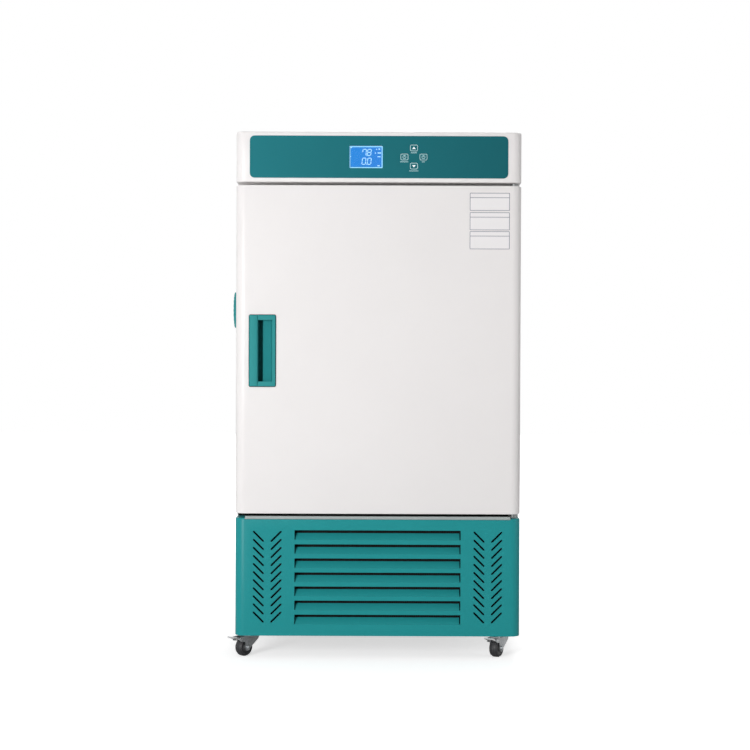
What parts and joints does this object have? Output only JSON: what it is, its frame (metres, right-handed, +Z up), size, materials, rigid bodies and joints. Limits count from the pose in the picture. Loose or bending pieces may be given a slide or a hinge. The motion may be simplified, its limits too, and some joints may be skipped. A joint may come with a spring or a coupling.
{
  "type": "biochemical oxygen demand incubator",
  "caption": "Floor-standing refrigerated incubator on castors with a hinged door, inner glass door, racked chamber, control head and louvred base.",
  "frame": {"origin": "on the floor at the middle of the footprint", "axes": "+Z up, -Y out of the door's front, +X to the viewer's right"},
  "size_m": [0.6152, 0.6097, 1.088],
  "materials": {
    "white_paint": "semi-gloss powder coat",
    "teal_paint": "semi-gloss powder coat",
    "teal_plastic": "moulded",
    "overlay_film": "printed polyester film",
    "display_lens": "clear lens",
    "display_body": "backlit panel",
    "circuit_board": "solder mask",
    "stainless": "brushed",
    "zinc_steel": "zinc plated",
    "fin_metal": "mill finish",
    "copper_pipe": "drawn copper",
    "black_plastic": "moulded",
    "black_paint": "satin",
    "grey_plastic": "moulded",
    "dark_metal": "zinc and paint",
    "wheel_rubber": "grey tread",
    "gasket_vinyl": "soft vinyl",
    "foam": "polyurethane foam",
    "door_glass": "tempered",
    "inner_panel": "vacuum formed"
  },
  "bodies": {
    "cabinet": {"cabinet_shell": "white_paint", "cabinet_insulation": "foam", "chamber_liner": "stainless", "air_baffle": "stainless", "circulation_fan_housing": "black_plastic", "evaporator": "fin_metal", "heater": "stainless", "temperature_probe": "stainless", "left_rack": "stainless", "right_rack": "stainless", "shelf_1": "stainless", "shelf_2": "stainless", "port_sleeve": "grey_plastic", "head_cover": "white_paint", "control_overlay": "overlay_film", "display_window": "display_lens", "display_module": "display_body", "control_board": "circuit_board", "base_front": "teal_paint", "base_sill": "grey_plastic", "base_pan": "dark_metal", "rear_panel": "white_paint", "power_inlet": "black_plastic", "compressor": "black_paint", "condenser": "fin_metal", "condenser_fan_housing": "dark_metal", "drip_tray": "black_plastic", "drain_tube": "grey_plastic", "discharge_line": "copper_pipe", "suction_line": "copper_pipe", "liquid_line": "copper_pipe", "upper_hinge": "zinc_steel", "lower_hinge": "zinc_steel"},
    "door": {"door_skin": "white_paint", "door_foam": "foam", "door_panel": "inner_panel", "door_gasket": "gasket_vinyl", "door_handle": "teal_plastic"},
    "glass_door": {"glass_pane": "door_glass", "lower_glass_clip": "zinc_steel", "upper_glass_clip": "zinc_steel", "glass_door_knob": "black_plastic"},
    "port_plug": {"port_plug": "teal_plastic"},
    "circulation_fan": {"circulation_fan": "black_plastic"},
    "condenser_fan": {"condenser_fan": "grey_plastic"},
    "power_switch": {"power_switch": "black_plastic"},
    "up_key": {"up_key": "overlay_film"},
    "left_key": {"left_key": "overlay_film"},
    "right_key": {"right_key": "overlay_film"},
    "down_key": {"down_key": "overlay_film"},
    "castor_front_left": {"castor_front_left_fork": "zinc_steel"},
    "wheel_front_left": {"castor_front_left_wheel": "wheel_rubber"},
    "brake_front_left": {"castor_front_left_brake": "zinc_steel"},
    "castor_front_right": {"castor_front_right_fork": "zinc_steel"},
    "wheel_front_right": {"castor_front_right_wheel": "wheel_rubber"},
    "brake_front_right": {"castor_front_right_brake": "zinc_steel"},
    "castor_rear_left": {"castor_rear_left_fork": "zinc_steel"},
    "wheel_rear_left": {"castor_rear_left_wheel": "wheel_rubber"},
    "castor_rear_right": {"castor_rear_right_fork": "zinc_steel"},
    "wheel_rear_right": {"castor_rear_right_wheel": "wheel_rubber"}
  },
  "joints": [
    {"name": "door_hinge", "type": "hinge", "parent": "cabinet", "child": "door", "pos_m": [0.29465, -0.2699, 0.6393], "axis": [0, 0, 1], "range_deg": [0, 110]},
    {"name": "glass_door_hinge", "type": "hinge", "parent": "cabinet", "child": "glass_door", "pos_m": [0.22765, -0.2334, 0.6393], "axis": [0, 0, 1], "range_deg": [0, 82.5]},
    {"name": "port_plug_pull", "type": "slide", "parent": "cabinet", "child": "port_plug", "axis": [-1, 0, 0], "range_m": [0, 0.078]},
    {"name": "circulation_fan_spin", "type": "hinge", "parent": "cabinet", "child": "circulation_fan", "pos_m": [0.01265, 0.1825, 0.7783], "axis": [0, 1, 0], "continuous": true},
    {"name": "condenser_fan_spin", "type": "hinge", "parent": "cabinet", "child": "condenser_fan", "pos_m": [0.13265, -0.1604, 0.167], "axis": [0, 1, 0], "continuous": true},
    {"name": "power_switch_rock", "type": "hinge", "parent": "cabinet", "child": "power_switch", "pos_m": [-0.19235, 0.2969, 0.1435], "axis": [1, 0, 0], "range_deg": [0, 16]},
    {"name": "up_key_press", "type": "slide", "parent": "cabinet", "child": "up_key", "axis": [0, 1, 0], "range_m": [0, 0.0006], "stiffness_N_per_m": 800},
    {"name": "left_key_press", "type": "slide", "parent": "cabinet", "child": "left_key", "axis": [0, 1, 0], "range_m": [0, 0.0006], "stiffness_N_per_m": 800},
    {"name": "right_key_press", "type": "slide", "parent": "cabinet", "child": "right_key", "axis": [0, 1, 0], "range_m": [0, 0.0006], "stiffness_N_per_m": 800},
    {"name": "down_key_press", "type": "slide", "parent": "cabinet", "child": "down_key", "axis": [0, 1, 0], "range_m": [0, 0.0006], "stiffness_N_per_m": 800},
    {"name": "front_left_swivel", "type": "hinge", "parent": "cabinet", "child": "castor_front_left", "pos_m": [-0.24935, -0.2449, 0.044], "axis": [0, 0, 1], "continuous": true},
    {"name": "front_left_roll", "type": "hinge", "parent": "castor_front_left", "child": "wheel_front_left", "pos_m": [-0.26569, -0.26513, 0.019], "axis": [0.7779, -0.6283, 0], "continuous": true},
    {"name": "front_left_brake_press", "type": "hinge", "parent": "castor_front_left", "child": "brake_front_left", "pos_m": [-0.27637, -0.27835, 0.0375], "axis": [0.7779, -0.6283, 0], "range_deg": [0, 12]},
    {"name": "front_right_swivel", "type": "hinge", "parent": "cabinet", "child": "castor_front_right", "pos_m": [0.27465, -0.2449, 0.044], "axis": [0, 0, 1], "continuous": true},
    {"name": "front_right_roll", "type": "hinge", "parent": "castor_front_right", "child": "wheel_front_right", "pos_m": [0.26169, -0.26744, 0.019], "axis": [0.867, -0.4983, 0], "continuous": true},
    {"name": "front_right_brake_press", "type": "hinge", "parent": "castor_front_right", "child": "brake_front_right", "pos_m": [0.25322, -0.28218, 0.0375], "axis": [0.867, -0.4983, 0], "range_deg": [0, 12]},
    {"name": "rear_left_swivel", "type": "hinge", "parent": "cabinet", "child": "castor_rear_left", "pos_m": [-0.24935, 0.2421, 0.044], "axis": [0, 0, 1], "continuous": true},
    {"name": "rear_left_roll", "type": "hinge", "parent": "castor_rear_left", "child": "wheel_rear_left", "pos_m": [-0.25386, 0.26771, 0.019], "axis": [-0.9848, -0.1736, 0], "continuous": true},
    {"name": "rear_right_swivel", "type": "hinge", "parent": "cabinet", "child": "castor_rear_right", "pos_m": [0.27465, 0.2421, 0.044], "axis": [0, 0, 1], "continuous": true},
    {"name": "rear_right_roll", "type": "hinge", "parent": "castor_rear_right", "child": "wheel_rear_right", "pos_m": [0.28564, 0.26566, 0.019], "axis": [-0.9063, 0.4226, 0], "continuous": true}
  ],
  "couplings": [
    {"joint": "glass_door_hinge", "follows": "door_hinge", "ratio": 0.75}
  ]
}
